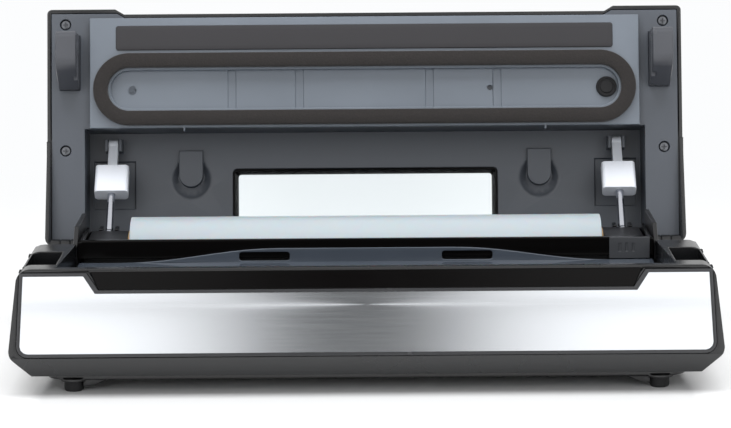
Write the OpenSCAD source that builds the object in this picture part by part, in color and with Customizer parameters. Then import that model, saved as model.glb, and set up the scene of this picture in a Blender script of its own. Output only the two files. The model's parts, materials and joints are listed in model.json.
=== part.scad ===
/* [Base] */
// Width of the base across the top of its front face
base_w = 397; // [340:1:440]
// Depth of the base at deck height, front edge to rear wall
base_d = 172; // [166:1:190]
// Height of the housing from its bottom rim to its top plane
body_h = 62; // [60:1:76]
// Depth of the bottom cover's pan under the housing
pan_h = 4; // [3:0.5:6]
// Height of the feet below the pan
foot_h = 7; // [5:0.5:12]
// Radius of the feet
foot_r = 5.7; // [5:0.1:8]
// Outward slope of the side walls, in degrees
side_draft = 5; // [2:0.5:7]
// Backward slope of the front face, in degrees
face_tilt = 8; // [4:0.5:10]
// Wall of the housing and of the lid
wall = 2.5; // [2:0.1:3]
// Fall of the rear deck towards the hinge, in degrees
deck_fall = 11.6; // [11.4:0.1:12.5]
// Depth of the flat rear ledge under the top plane
ledge_drop = 21; // [20.5:0.5:24]

/* [Lid] */
// How much narrower the lid is than the base
lid_less = 1; // [0.5:0.5:3]
// Angle between the shut lid and the lid at rest, open
lid_open = 103; // [95:1:108]
// Height of the lid's top over its rim at the front edge
lid_front_h = 22; // [20:0.5:26]
// Height of the lid's top over its rim at the rear
lid_rear_h = 39; // [38:0.5:44]
// Distance of the hinge axis behind the front edge of the base
hinge_y = 150.7; // [149:0.1:154]
// Depth of the hinge axis under the top plane
hinge_drop = 14.3; // [13.8:0.1:15]
// Gap between the shut lid's rim and the base
lid_gap = 0.4; // [0.3:0.1:1]
// Radius of the hinge pins
hinge_pin_r = 2; // [1.5:0.1:2.5]

/* [Sealing] */
// Length of the heating strip and of the pad over it
seal_l = 309; // [280:1:330]
// Width of the pad
pad_w = 15.3; // [12:0.1:17]
// Length of the foam gasket, over its round ends
gasket_l = 337; // [300:1:340]
// Width of the foam gasket
gasket_w = 45; // [40:0.5:46]
// Width of the foam band
gasket_band = 9; // [7:0.5:11]
// Height of the foam over the lid's platform
gasket_h = 4.6; // [4:0.1:5]

/* [Bag roll] */
// Length of the bag roll
roll_l = 283; // [250:1:286]
// Radius of a full bag roll
roll_r = 22; // [16:0.5:22.5]
// Radius of the cardboard core's bore
core_r = 12; // [9:0.5:13]

/* [Cutter] */
// Half length of the cutter rail
rail_half = 168.5; // [160:0.5:168.5]
// Thickness of the rail, front to back
rail_t = 3.5; // [3:0.1:3.6]
// Height of the rail's top over the top plane
rail_top = 2.1; // [1:0.1:4]
// Width of the sliding cutter
slider_w = 24; // [20:1:32]

/* [Struts] */
// Distance of each lid strut from the middle
strut_x = 158.5; // [158:0.1:159]
// Radius of the strut's steel rod
rod_r = 2.3; // [2:0.1:2.6]
// Width of the strut's square body
strut_w = 21; // [18:0.5:21.5]
// Radial clearance of running fits
fit = 0.06; // [0.03:0.01:0.09]

/* [Controls] */
// Travel of the side release buttons
release_travel = 2.6; // [2:0.1:2.6]
// Travel of the keys on the lid
key_travel = 0.8; // [0.5:0.1:1.2]
// Distance between neighbouring keys
key_pitch = 26; // [22:0.5:30]

/* [Hidden] */

$fn = 48;

// Base outline
half_w = base_w / 2;
shoulder_r = 8;
face_bottom = -(body_h - 12);
corner_cut = 12;
bottom_r = 9;
side_grow = tan(side_draft);
face_run = tan(face_tilt);
step_y = 81;
step_run = 2;
step_drop = 1.2;
fall_end_y = 145;
ledge_y = 157;
rear_round = 18;
top_z = body_h + pan_h + foot_h;
lip_d = 7.2;
open_front_x = half_w - 22.5;
open_rear_x = half_w - 27;
tub_top_x = half_w - 24.5;

// Lid outline, drawn shut
lid_w = base_w - lid_less;
half_lid = lid_w / 2;
lid_mid_y = 4.6;
lid_ear_y = 1.4;
ear_in_x = half_lid - 48;
ear_out_x = half_lid - 42.5;
lid_back_y = hinge_y - 0.7;
lid_draft = 2;
lid_round = 6;
slope_end_y = 74;
platform_x = half_w - 27.7;
platform_front_y = 7.8;
platform_rear_y = 76.5;
platform_z = -6;
liner_t = 2;
recess_x = half_w - 24;
dish_d = 3;
dish_back = 0.6;
liner_play = 0.3;
recess_z = lid_gap + lid_rear_h - wall - liner_play - dish_back - dish_d;
recess_rear_y = 144;
skirt_start_y = step_y + step_run + 1.4;

// Sealing zone
pad_y = 20.4;
pad_h = 1.2;
gasket_y = 52.5;
deck_z = platform_z - pad_h - lid_gap;
land_z = platform_z - gasket_h - lid_gap;
tray_front_y = 29.7;
deck_rear_y = tray_front_y - 0.3;
tray_rear_y = 79.2;
tray_half = half_w - 28.5;
deck_floor_z = land_z - 2;
trough_half = gasket_l / 2 - 7;
trough_y0 = 36;
trough_y1 = 69;
trough_floor_z = -24;
tray_floor_z = -21;
heat_top_z = deck_z - 0.6;
arch_top_z = -2.8;
arch_half = 144;
arch_flat = 52;

// Bag roll
roll_y = 115;
roll_z = -12;
roll_gap = 1;
roll_room = roll_l / 2 + 3;
tub_rear_y = 143.5;
roll_front_y = 86.2;
tub_floor_z = roll_z - roll_r - roll_gap - 2.5;
bay_wall_z = -3;

// Cutter rail
rail_y = 81;
rail_bottom_z = -9;
arm_t = 2.2;
rail_pivot_y = 137;
rail_pivot_z = -5;
rail_pin_r = 2.4;
cheek_in_x = rail_half + arm_t + 0.5;
cheek_out_x = tub_top_x - 0.2;
cheek_z = 8;
cheek_y = step_y + step_run + 0.4;
slider_x = rail_half - slider_w / 2 - 0.2;

// Struts: upper pivot in the shut lid and lower end in the base
strut_up = [85, 24];
strut_low = [156, -7];
ball_r = 3;
neck_l = 18;
block_l = 20;
block_t = 10;
rod_inside = 20;

// Hooks and sockets
hook_x = half_w - 14.75;
hook_t = 12.5;
socket_x = half_w - 12.5;
socket_w = 18;
socket_y0 = 15.5;
socket_y1 = 57;
socket_depth = 12.4;
socket_wall = 0.8;
latch_z = -18;
latch_t = 3;

latch_y0 = socket_y0 - 2.3;
latch_y1 = socket_y1 + 2.3;
latch_in_x = socket_x - socket_w / 2 - 0.4;
latch_out_x = socket_x + socket_w / 2 - 1.8;
tongue = 2;
hook_y0 = 18;
hook_y1 = 52;
hook_d = 28;
release_y = (socket_y0 + socket_y1) / 2;
release_z = latch_z + latch_t / 2;
release_l = 30;
release_h = 12;

// Fasteners, feet and inlet
screw_r = 1.4;
head_r = 3.2;
boss_r = 4;
boss_h = body_h - ledge_drop - 1;
screw_spots = [[-150, base_d - 12], [0, base_d - 12], [150, base_d - 12], [-96, 24], [56, 24]];
foot_xs = [-168, 168];
foot_ys = [14, base_d - 18];
inlet_x = 120;
inlet_z = -42;
lid_screw_spots = [[half_lid - 11.5, 11], [half_lid - 11.5, 90]];

// Works in the base: board, pump, hose and its port in the tray's trough
board_z = -57;
pump_z = -49;
port_x = 125;
hose_r = 2.8;
hose_bore_r = 1.6;

// Window, plug in the lid's port, and the pins that hold the struts
window_l = 167.5;
window_w = 38;
window_y = 118.6;
window_rim = 2.5;
tongue_x = 110.2;
tongue_r = 7.5;
tongue_y0 = 88;
tongue_y1 = 103.5;
dish_r = 14;
dish_y = 106;
channel_d = 4;
plug_x = 150.6;
plug_r = 4;
strut_pin_r = 1.6;
pocket_y0 = 94.5;
pocket_y1 = 124.5;
pocket_side = 2.5;
pocket_d = 2.2;

// Hinge knuckles, from the middle outwards
knuckle_r = 5;
knuckles = [half_w - 22.5, half_w - 16.7, half_w - 10.3, half_w - 4.5];

// Front face: panel outline, measured down the face
panel_top_x = half_w - 4.3;
panel_bottom_x = half_w - 2.1;
panel_top_s = 4;
panel_step_s = 13.9;
panel_bottom_s = 48;
panel_step_out = 160;
panel_step_in = 153.5;
panel_r = 4.5;
bezel_w = 2;

// Keys on the lid's outer slope
slope = atan((lid_rear_h - lid_front_h) / (slope_end_y - lid_mid_y));
keys_y = 36;
key_l = 17;
key_w = 9;
key_xs = [for (i = [-2:2]) i * key_pitch];
panel_l = 160;
panel_w = 24;
lamp_r = 1.2;
lamp_y = keys_y + 8.6;

// Depth of the whole object, lid open, and the middle of that depth
function turned(p, a) = let (dy = p[0] - hinge_y, dz = p[1] + hinge_drop)
    [hinge_y + dy * cos(a) - dz * sin(a), -hinge_drop + dy * sin(a) + dz * cos(a)];
open_top = turned([lid_ear_y, lid_gap + lid_front_h], -lid_open);
front_y = face_bottom * face_run;
mid_y = (front_y + open_top[0]) / 2;

// Height of the falling rear deck at a depth y, and of the lid's skirt over it
function deck_at(y) = -step_drop - (y - step_y - step_run) * tan(deck_fall);
skirt_z = deck_at(fall_end_y) + lid_gap;

// Struts seen from the lid: direction and length from the upper pin to the ball
strut_end = turned(strut_low, lid_open);
strut_dir = atan2(strut_end[1] - strut_up[1], strut_end[0] - strut_up[0]);
strut_len = norm(strut_end - strut_up);

// ---- placing and outlines ----
module in_base() {
    translate([0, -mid_y, top_z]) children();
}

module in_lid() {
    in_base()
        translate([0, hinge_y, -hinge_drop])
            rotate([-lid_open, 0, 0])
                translate([0, -hinge_y, hinge_drop]) children();
}

module along_x(l) {
    rotate([90, 0, 90]) linear_extrude(l, center = true) children();
}

module along_y(y0, y1) {
    translate([0, y1, 0]) rotate([90, 0, 0]) linear_extrude(y1 - y0) children();
}

module along_z(z0, z1) {
    translate([0, 0, z0]) linear_extrude(z1 - z0) children();
}

module block(lo, hi) {
    translate(lo) cube(hi - lo);
}

module both() {
    children();
    mirror([1, 0, 0]) children();
}

module rod_x(x0, x1, y, z, r) {
    translate([x0, y, z]) rotate([0, 90, 0]) cylinder(h = x1 - x0, r = r);
}

module rounded(w, d, r) {
    square([w - 2 * r, d], center = true);
    square([w, d - 2 * r], center = true);
    for (x = [-1, 1], y = [-1, 1])
        translate([x * (w / 2 - r), y * (d / 2 - r)]) circle(r);
}

module slot(l, w) {
    square([l - w, w], center = true);
    for (x = [-1, 1]) translate([x * (l - w) / 2, 0]) circle(w / 2);
}

function arc(cx, cy, r, a0, a1, n = 6) =
    [for (i = [0:n]) let (a = a0 + (a1 - a0) * i / n) [cx + r * cos(a), cy + r * sin(a)]];

function mirrored(pts) =
    concat(pts, [for (i = [len(pts) - 1:-1:0]) [-pts[i][0], pts[i][1]]]);

// ---- base housing ----
function side_profile(g) = mirrored(concat(
    arc(half_w - shoulder_r, -shoulder_r, shoulder_r - g, 90, 0),
    arc(half_w - face_bottom * side_grow - bottom_r, face_bottom + 4, bottom_r - g, 0, -45),
    [[half_w - face_bottom * side_grow - corner_cut - g * 0.4, -body_h - (g > 0 ? 1 : 0)]]));

function depth_profile(g) = [
    [1.2 + g, -g], [g, -1.2 - g * 0.2], [front_y + g, face_bottom],
    [front_y + 7.5 + g, -body_h - (g > 0 ? 1 : 0)], [base_d - g, -body_h - (g > 0 ? 1 : 0)],
    [base_d - g, -ledge_drop - 3], [base_d - 3 - g, -ledge_drop - g], [ledge_y - g * 0.5, -ledge_drop - g],
    [fall_end_y - g * 0.4, deck_at(fall_end_y) - g], [step_y + step_run - g * 0.2, -step_drop - g],
    [step_y - g * 0.2, -g]];

module plan_outline(g) {
    hw = half_w - face_bottom * side_grow + 1 - g;
    translate([-hw, front_y - 2]) square([2 * hw, base_d - g - rear_round - front_y + 2]);
    translate([-hw + rear_round, front_y - 2])
        square([2 * (hw - rear_round), base_d - g - front_y + 2]);
    for (x = [-1, 1]) translate([x * (hw - rear_round), base_d - g - rear_round]) circle(rear_round);
}

module base_solid(g) {
    intersection() {
        along_y(front_y - 1, base_d + 1) polygon(side_profile(g));
        along_x(2 * base_w) polygon(depth_profile(g));
        along_z(-body_h - 2, 1) plan_outline(g);
    }
}

module on_face() {
    rotate([90 - face_tilt, 0, 0]) children();
}

function panel_half(g) = concat([
    [panel_step_in - g, -panel_step_s + g], [panel_step_out - g, -panel_top_s + g],
    [panel_top_x + g, -panel_top_s + g]], arc(panel_bottom_x - panel_r, panel_r - panel_bottom_s,
        panel_r + g, 0, -90));

module panel_outline(g) {
    polygon(mirrored(panel_half(g)));
}

module strip_outline(g) {
    x = panel_step_in - bezel_w - 0.2 - g;
    polygon([[-x, -panel_step_s + bezel_w + 0.2 + g], [x, -panel_step_s + bezel_w + 0.2 + g],
        [x + 4.6, -1.4 - g], [-x - 4.6, -1.4 - g]]);
}

module front_opening(g) {
    polygon(mirrored([[open_front_x + g, lip_d - g], [open_rear_x + g, step_y + step_run + 1]]));
}

module tub_opening() {
    front_opening(0);
    translate([-tub_top_x - 0.4, step_y + step_run])
        square([2 * tub_top_x + 0.8, tub_rear_y + 1 - step_y - step_run]);
}

module socket_plan(g) {
    translate([socket_x, (socket_y0 + socket_y1) / 2])
        rounded(socket_w + 2 * g, socket_y1 - socket_y0 + 2 * g, 1.5 + g);
}

module release_face(g, t) {
    along_x(t) translate([release_y, release_z])
        rounded(release_l + 2 * g, release_h + 2 * g, 5);
}

module base_housing() {
    color("dimgray") in_base() {
        difference() {
            union() {
                difference() {
                    base_solid(0);
                    base_solid(wall);
                    along_z(-60, 5) tub_opening();
                }
                // socket wells for the lid's hooks
                both() along_z(-socket_depth, -1.5) socket_plan(socket_wall);
                // inner skirt round the front opening
                along_z(deck_floor_z, -1.5) intersection() {
                    difference() {
                        front_opening(1.2);
                        front_opening(0);
                    }
                    translate([-base_w, 0]) square([2 * base_w, step_y - 0.5]);
                }
                // guides for the latch frames
                both() for (y = [latch_y0 - 2.8, latch_y1 + 0.4])
                    block([open_front_x + 0.6, y, latch_z - 2.5], [half_w - 1, y + 2.4, -wall + 0.5]);
                // knuckles of the lid hinge
                both() for (i = [0, 2]) {
                    rod_x(knuckles[i], knuckles[i + 1], hinge_y, -hinge_drop, knuckle_r);
                    block([knuckles[i], hinge_y - knuckle_r, -ledge_drop - 1],
                        [knuckles[i + 1], hinge_y + knuckle_r, -hinge_drop]);
                }
                intersection() {
                    both() block([knuckles[0] - 2, hinge_y - 9, -ledge_drop - 3],
                        [knuckles[3] + 2, ledge_y + 1, 0]);
                    base_solid(0);
                }
                // open cups for the lower ends of the struts
                both() for (s = [-1, 1])
                    translate([strut_x + s * (ball_r + 1.8), 0, 0])
                        block([-1.2, strut_low[0] - 5.4, -ledge_drop - 1],
                            [1.2, strut_low[0] + 5, strut_low[1] + 4]);
                // bosses for the bottom cover's screws, and the front ones' ribs
                intersection() {
                    for (p = screw_spots) {
                        translate([p[0], p[1], -body_h]) cylinder(h = boss_h, r = boss_r);
                        if (p[1] < base_d / 2)
                            block([p[0] - 1, front_y, -body_h], [p[0] + 1, p[1], boss_h - body_h]);
                    }
                    base_solid(1);
                }
            }
            along_z(-socket_depth - 1, 5) both() socket_plan(0);
            both() translate([half_w, 0, 0]) release_face(0.25, 30);
            both() rod_x(knuckles[0] - 1, knuckles[3] + 1, hinge_y, -hinge_drop, hinge_pin_r);
            both() rod_x(knuckles[1], knuckles[2], hinge_y, -hinge_drop, knuckle_r + 0.8);
            on_face() {
                translate([0, 0, -1.6]) linear_extrude(6) panel_outline(bezel_w);
                translate([0, 0, -1.6]) linear_extrude(6) strip_outline(-0.2);
            }
            // opening for the power inlet
            block([inlet_x - 12, base_d - 5, inlet_z - 7], [inlet_x + 12, base_d + 1, inlet_z + 7]);
            for (p = screw_spots) translate([p[0], p[1], -body_h - 1]) cylinder(h = 14, r = screw_r);
        }
    }
}

module bottom_cover() {
    color("#26272a") in_base() difference() {
        union() {
            along_z(-body_h - pan_h, -body_h - 0.05)
                translate([0, (base_d + front_y + 11) / 2])
                    rounded(base_w - 30, base_d - front_y - 21, 12);
            for (x = foot_xs, y = foot_ys)
                translate([x, y, -body_h - pan_h - 1]) cylinder(h = 2, r = foot_r + 2.2);
            // webs that brace the feet
            both() for (y = foot_ys) along_y(y - 4, y + 4) polygon([
                [foot_xs[1] - foot_r + 0.2, 1 - body_h - pan_h], [foot_xs[1] - foot_r + 0.2, 2.5 - top_z],
                [foot_xs[1] - foot_r - 7, 3.8 - top_z], [foot_xs[1] - foot_r - 16, 1 - body_h - pan_h]]);
        }
        for (p = screw_spots) translate([p[0], p[1], -body_h - pan_h - 1]) {
            cylinder(h = pan_h + 3, r = screw_r + 0.4);
            cylinder(h = 3, r = head_r + 0.2);
        }
        for (x = foot_xs, y = foot_ys)
            translate([x, y, -top_z - 1]) cylinder(h = foot_h + 1.5, r = foot_r + fit);
    }
}

module feet() {
    color("#1d1d1f") in_base() for (x = foot_xs, y = foot_ys)
        translate([x, y, -top_z]) cylinder(h = foot_h + 0.5, r = foot_r);
}

module base_screws() {
    color("silver") in_base() for (p = screw_spots) translate([p[0], p[1], -body_h - pan_h]) {
        translate([0, 0, 0.2]) cylinder(h = 1.8, r = head_r);
        translate([0, 0, 1]) cylinder(h = pan_h + 10, r = screw_r);
    }
}

module front_bezel() {
    color("gray") in_base() on_face() translate([0, 0, -1.6]) linear_extrude(2) difference() {
        panel_outline(bezel_w - 0.05);
        panel_outline(0.05);
    }
}

module front_panel() {
    color("silver") in_base() on_face() translate([0, 0, -1.6]) linear_extrude(1.4) panel_outline(0);
}

module gloss_strip() {
    color("#151413") in_base() on_face() translate([0, 0, -1.6]) linear_extrude(1.9) strip_outline(0);
}

// ---- chamber ----
module sealing_deck() {
    color("#2b2b2c") in_base() difference() {
        union() {
            // heating deck
            along_z(deck_floor_z - 2, heat_top_z) intersection() {
                front_opening(-0.3);
                translate([-base_w, 0]) square([2 * base_w, deck_rear_y]);
            }
            // ledge that carries the drip tray
            along_z(deck_floor_z - 2, deck_floor_z) front_opening(-0.3);
            block([-cheek_out_x, step_y + step_run, deck_floor_z - 2],
                [cheek_out_x, roll_front_y, deck_floor_z]);
            // trough under the tray
            block([-trough_half - 2, trough_y0 - 2, trough_floor_z - 2],
                [trough_half + 2, trough_y1 + 2, deck_floor_z - 1]);
        }
        block([-trough_half, trough_y0, trough_floor_z], [trough_half, trough_y1, 0]);
        // slot for the heater bar
        block([-seal_l / 2 - 1.2, pad_y - pad_w / 2 - 0.2, deck_floor_z],
            [seal_l / 2 + 1.2, pad_y + pad_w / 2 + 0.2, 0]);
        translate([port_x, gasket_y, trough_floor_z - 3]) cylinder(h = 4, r = hose_bore_r);
    }
}

module roll_bay() {
    bay_z = deck_floor_z - 2;
    color("#2b2b2c") in_base() difference() {
        union() {
            // block under the roll, with a wall on each side of it
            block([-cheek_out_x, roll_front_y, tub_floor_z], [cheek_out_x, tub_rear_y, bay_z + 1]);
            block([-roll_room - 2, roll_front_y, bay_z], [roll_room + 2, roll_front_y + 2.2, bay_wall_z]);
            block([-cheek_out_x, tub_rear_y - 1.2, bay_z], [cheek_out_x, tub_rear_y, bay_wall_z]);
            both() block([roll_room, roll_front_y, bay_z], [rail_half - 0.8, tub_rear_y, bay_wall_z]);
            // cheeks that carry the cutter rail's pins
            both() translate([(cheek_in_x + cheek_out_x) / 2, 0, 0])
                along_x(cheek_out_x - cheek_in_x) polygon([[cheek_y, deck_floor_z], [cheek_y, -2],
                    [cheek_y + 12, cheek_z], [tub_rear_y, cheek_z], [tub_rear_y, bay_z],
                    [roll_front_y, bay_z], [roll_front_y, deck_floor_z]]);
        }
        rod_x(-roll_room, roll_room, roll_y, roll_z, roll_r + roll_gap);
        both() rod_x(cheek_in_x - 1, cheek_out_x + 1, rail_pivot_y, rail_pivot_z, rail_pin_r + fit);
    }
}

function bell(n = 10) = [for (i = [0:n]) let (t = i / n)
    [arch_half - (arch_half - arch_flat) * t, land_z + (arch_top_z - land_z) * (1 - cos(180 * t)) / 2]];

module drip_tray() {
    l = gasket_l - 2 * gasket_band - 1;
    w = gasket_w - 2 * gasket_band - 1;
    color("slategray") in_base() difference() {
        union() {
            block([-tray_half, tray_front_y, deck_floor_z + 0.05], [tray_half, tray_rear_y, land_z]);
            translate([0, gasket_y, tray_floor_z - 1.6])
                linear_extrude(land_z - tray_floor_z + 1) slot(l + 3.2, w + 3.2);
            // bell-shaped rear wall with two finger slots
            along_y(tray_rear_y - 1.4, tray_rear_y)
                polygon(mirrored(concat([[arch_half, land_z - 1]], bell())));
        }
        translate([0, gasket_y, tray_floor_z]) linear_extrude(12) slot(l, w);
        both() translate([60, 0, land_z + 3.4]) along_y(tray_rear_y - 3, tray_rear_y + 1)
            rounded(30, 5.2, 1.8);
    }
}

module heater_bar() {
    color("#c8c2b4") in_base() block([-seal_l / 2 - 1, pad_y - pad_w / 2, deck_floor_z],
        [seal_l / 2 + 1, pad_y + pad_w / 2, heat_top_z]);
}

module heater_element() {
    color("silver") in_base()
        block([-seal_l / 2, pad_y - 1.4, heat_top_z], [seal_l / 2, pad_y + 1.4, heat_top_z + 0.2]);
}

module heater_tape() {
    color("#4a2f20") in_base() block([-seal_l / 2 - 0.5, pad_y - pad_w / 2 + 0.2, heat_top_z + 0.2],
        [seal_l / 2 + 0.5, pad_y + pad_w / 2 - 0.2, deck_z]);
}

// ---- cutter ----
module cutter_rail() {
    color("#1c1c1e") in_base() difference() {
        union() {
            block([-rail_half, rail_y, rail_bottom_z], [rail_half, rail_y + rail_t, rail_top]);
            both() translate([rail_half + arm_t / 2, 0, 0]) along_x(arm_t) {
                polygon([[rail_y, rail_bottom_z], [rail_y, rail_top - 1], [rail_pivot_y, 0],
                    [rail_pivot_y, rail_bottom_z]]);
                translate([rail_pivot_y, rail_pivot_z]) circle(4.8);
            }
            both() block([rail_half - 1, rail_y, rail_bottom_z],
                [rail_half + 1, rail_y + rail_t, rail_top - 1]);
        }
        // groove for the slider's rib
        block([-rail_half - 5, rail_y + rail_t - 0.8, -4.4], [rail_half + 5, rail_y + rail_t + 1, -2.2]);
        both() rod_x(rail_half - 1, rail_half + arm_t + 1, rail_pivot_y, rail_pivot_z, rail_pin_r);
    }
}

module rail_pins() {
    color("silver") in_base() both()
        rod_x(rail_half, cheek_out_x, rail_pivot_y, rail_pivot_z, rail_pin_r);
}

module cutter_slider() {
    x0 = slider_x - slider_w / 2;
    x1 = slider_x + slider_w / 2;
    y1 = rail_y + rail_t;
    color("#3a3b3e") in_base() difference() {
        union() {
            block([x0, rail_y - 1.2, rail_bottom_z - 1.8], [x1, rail_y - 0.2, rail_top]);
            block([x0, rail_y - 1.2, rail_bottom_z - 1.8], [x1, y1 + 1.2, rail_bottom_z - 0.3]);
            block([x0, y1 + 0.2, rail_bottom_z - 1.8], [x1, y1 + 1.2, -1]);
            block([x0, y1 - 0.5, -4.1], [x1, y1 + 0.3, -2.5]);
        }
        for (i = [0:2]) translate([slider_x - 6.5 + 4 * i, 0, 0])
            block([0, rail_y - 2, -6.5], [1.5, rail_y - 0.8, -1.5]);
    }
}

module cutter_blade() {
    color("gainsboro") in_base() translate([0, rail_y + rail_t / 2 + 0.25, 0]) rotate([90, 0, 0])
        linear_extrude(0.5) polygon([[slider_x - 5, rail_bottom_z - 1.8], [slider_x + 5, rail_bottom_z - 1.8],
            [slider_x, rail_bottom_z - 3.7]]);
}

// ---- bag roll ----
module bag_roll() {
    color("#d2dae3") in_base() difference() {
        rod_x(-roll_l / 2, roll_l / 2, roll_y, roll_z, roll_r);
        rod_x(-roll_l, roll_l, roll_y, roll_z, core_r + 1.5);
    }
}

module roll_core() {
    color("tan") in_base() difference() {
        rod_x(-roll_l / 2 - 1.5, roll_l / 2 + 1.5, roll_y, roll_z, core_r + 1.5);
        rod_x(-roll_l, roll_l, roll_y, roll_z, core_r);
    }
}

// ---- latches ----
// Drawn locked, with its tongue in the shut lid's hook
module latch_frame() {
    along_z(latch_z, latch_z + latch_t) difference() {
        translate([latch_in_x - 3.6, latch_y0])
            square([latch_out_x - latch_in_x + 6.4, latch_y1 - latch_y0]);
        translate([latch_in_x, latch_y0 + 3])
            square([latch_out_x - latch_in_x, latch_y1 - latch_y0 - 6]);
    }
    // tongue that catches the hook's notch
    block([latch_in_x - 1, release_y - 9, latch_z],
        [hook_x - hook_t / 2 + tongue, release_y + 9, latch_z + latch_t]);
    // stem and face of the button
    block([latch_out_x + 2, release_y - 11, latch_z], [half_w + 0.5, release_y + 11, latch_z + latch_t]);
    translate([half_w + 0.8, 0, 0]) release_face(0, 1.6);
}

module release_right() {
    color("#3c3d40") in_base() translate([-release_travel, 0, 0]) latch_frame();
}

module release_left() {
    color("#3c3d40") in_base() mirror([1, 0, 0]) translate([-release_travel, 0, 0]) latch_frame();
}

module hinge_pins() {
    color("silver") in_base() both()
        rod_x(knuckles[0], knuckles[3], hinge_y, -hinge_drop, hinge_pin_r);
}

// ---- drive, pump and electrics in the base ----
module power_inlet() {
    y1 = base_d + 0.6;
    color("#161617") in_base() difference() {
        union() {
            block([inlet_x - 11.8, y1 - 16, inlet_z - 6.8], [inlet_x + 11.8, y1, inlet_z + 6.8]);
            block([inlet_x - 14, base_d, inlet_z - 9], [inlet_x + 14, y1 + 0.8, inlet_z + 9]);
        }
        translate([inlet_x, 0, inlet_z]) along_y(y1 - 13, y1 + 2) slot(17, 9);
    }
    color("silver") in_base() for (x = [-4.3, 4.3])
        translate([inlet_x + x, 0, inlet_z]) along_y(y1 - 14, y1 - 3) circle(1.2);
}

module main_board() {
    color("darkgreen") in_base() {
        block([-88, 34, board_z], [44, 76, board_z + 1.6]);
        for (x = [-82, 38], y = [40, 70])
            translate([x, y, -body_h]) cylinder(h = board_z + body_h + 0.5, r = 3);
        // relay, capacitor, heat sink and terminal block
        block([-80, 46, board_z + 1], [-60, 62, board_z + 17]);
        translate([-44, 58, board_z + 1]) cylinder(h = 20, r = 6);
        for (i = [0:4]) block([-24 + 4 * i, 42, board_z + 1], [-22 + 4 * i, 66, board_z + 18]);
        block([-24, 42, board_z + 1], [-6, 66, board_z + 4]);
        block([8, 62, board_z + 1], [34, 72, board_z + 11]);
    }
}

module transformer() {
    color("#6d6a64") in_base() {
        block([-158, 34, -body_h], [-108, 66, -body_h + 2]);
        block([-152, 36, -body_h + 1], [-114, 64, -30]);
        translate([-133, 50, -46]) along_x(52) rounded(22, 24, 4);
    }
}

module vacuum_pump() {
    color("#3f4246") in_base() difference() {
        union() {
            block([66, 30, -body_h], [98, 62, -body_h + 3]);
            block([68, 34, -body_h + 2], [96, 58, -38]);
            rod_x(96, 104, 46, pump_z, 12);
            translate([85, gasket_y, -39]) cylinder(h = 3, r = hose_r);
        }
        rod_x(92, 106, 46, pump_z, 1.6 + fit);
    }
}

module pump_motor() {
    color("silver") in_base() {
        rod_x(104, 140, 46, pump_z, 12.3);
        rod_x(139, 143, 46, pump_z, 4);
        rod_x(93, 105, 46, pump_z, 1.6);
    }
}

module elbow(x, z, a) {
    translate([x, gasket_y, z]) rotate([90, a, 0]) rotate_extrude(angle = 90)
        translate([5, 0]) difference() {
            circle(hose_r);
            circle(hose_bore_r);
        }
}

module vacuum_hose() {
    color("#d8d8d2") in_base() {
        elbow(90, -36, -90);
        elbow(port_x - 5, -26.05, 90);
        difference() {
            rod_x(90, port_x - 5, gasket_y, -31, hose_r);
            rod_x(89, port_x - 4, gasket_y, -31, hose_bore_r);
        }
    }
}

module pressure_switch() {
    color("#55585c") in_base() {
        translate([22, 50, board_z + 1.6]) cylinder(h = 9, r = 9);
        translate([22, 50, board_z + 10]) cylinder(h = 6, r = 2);
    }
}

module lid_switches() {
    color("#8c2f22") in_base() both() {
        block([half_w - 33, 62.6, -27], [half_w - 26.5, 76, -16]);
        block([half_w - 31, 64, -16.5], [half_w - 28.5, 68, deck_floor_z - 2]);
    }
}

// ---- lid ----
function lid_plan(g) = mirrored(concat(
    [[ear_in_x - g * 0.4, lid_mid_y + g], [ear_out_x - g * 0.4, lid_ear_y + g]],
    arc(half_lid - 3, lid_ear_y + 3, 3 - g * 0.6, -90, 0, 4),
    arc(half_lid - 5, lid_back_y - 5, 5 - g, 0, 90, 4)));

function inset_plan(g) = mirrored([[ear_in_x - g * 0.4, lid_mid_y + g], [ear_out_x - g * 0.4, lid_ear_y + g],
    [half_lid - g, lid_ear_y + g], [half_lid - g, lid_back_y - g]]);

function lid_sides(g) = mirrored(concat([[half_lid - g, lid_gap - 1]],
    arc(half_lid - lid_round - 1.3, lid_gap + lid_rear_h - lid_round, lid_round - g, 0, 90)));

function lid_depth(g) = let (t = lid_gap - g, b = lid_back_y - g) concat(
    [[lid_ear_y - 2, lid_gap - 1], [lid_ear_y - 2, t + lid_front_h - 4 - 2.4 * tan(slope)],
     [lid_mid_y + 2.4, t + lid_front_h + 2.4 * tan(slope)], [slope_end_y, t + lid_rear_h]],
    arc(lid_back_y - lid_round, t + g + lid_rear_h - lid_round, lid_round - g, 90, 0),
    [[b, lid_gap - 1]]);

module lid_solid(g) {
    intersection() {
        along_z(lid_gap - (g > 0 ? 1 : 0), lid_rear_h + 2) polygon(g > 0 ? inset_plan(g) : lid_plan(g));
        along_y(-5, lid_back_y + 5) polygon(lid_sides(g));
        along_x(2 * lid_w) polygon(lid_depth(g));
    }
}

module on_slope() {
    translate([0, lid_mid_y, lid_gap + lid_front_h]) rotate([slope, 0, 0]) children();
}

// Room in the lid for the knuckles and the strut cups of the base
module hinge_notches() {
    both() for (i = [0, 2]) {
        rod_x(knuckles[i] - 0.3, knuckles[i + 1] + 0.3, hinge_y, -hinge_drop, knuckle_r + 1.2);
        block([knuckles[i] - 0.3, hinge_y - 7, skirt_z - 1],
            [knuckles[i + 1] + 0.3, hinge_y + 6, -hinge_drop]);
    }
    both() block([strut_x - 7, recess_rear_y - 1, skirt_z - 1], [strut_x + 7, hinge_y + 2, 4.9]);
}

module key_holes(g, z0, z1) {
    for (x = key_xs) translate([x, keys_y, z0]) linear_extrude(z1 - z0)
        rounded(key_l + 2 * g, key_w + 2 * g, 4);
}

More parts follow.
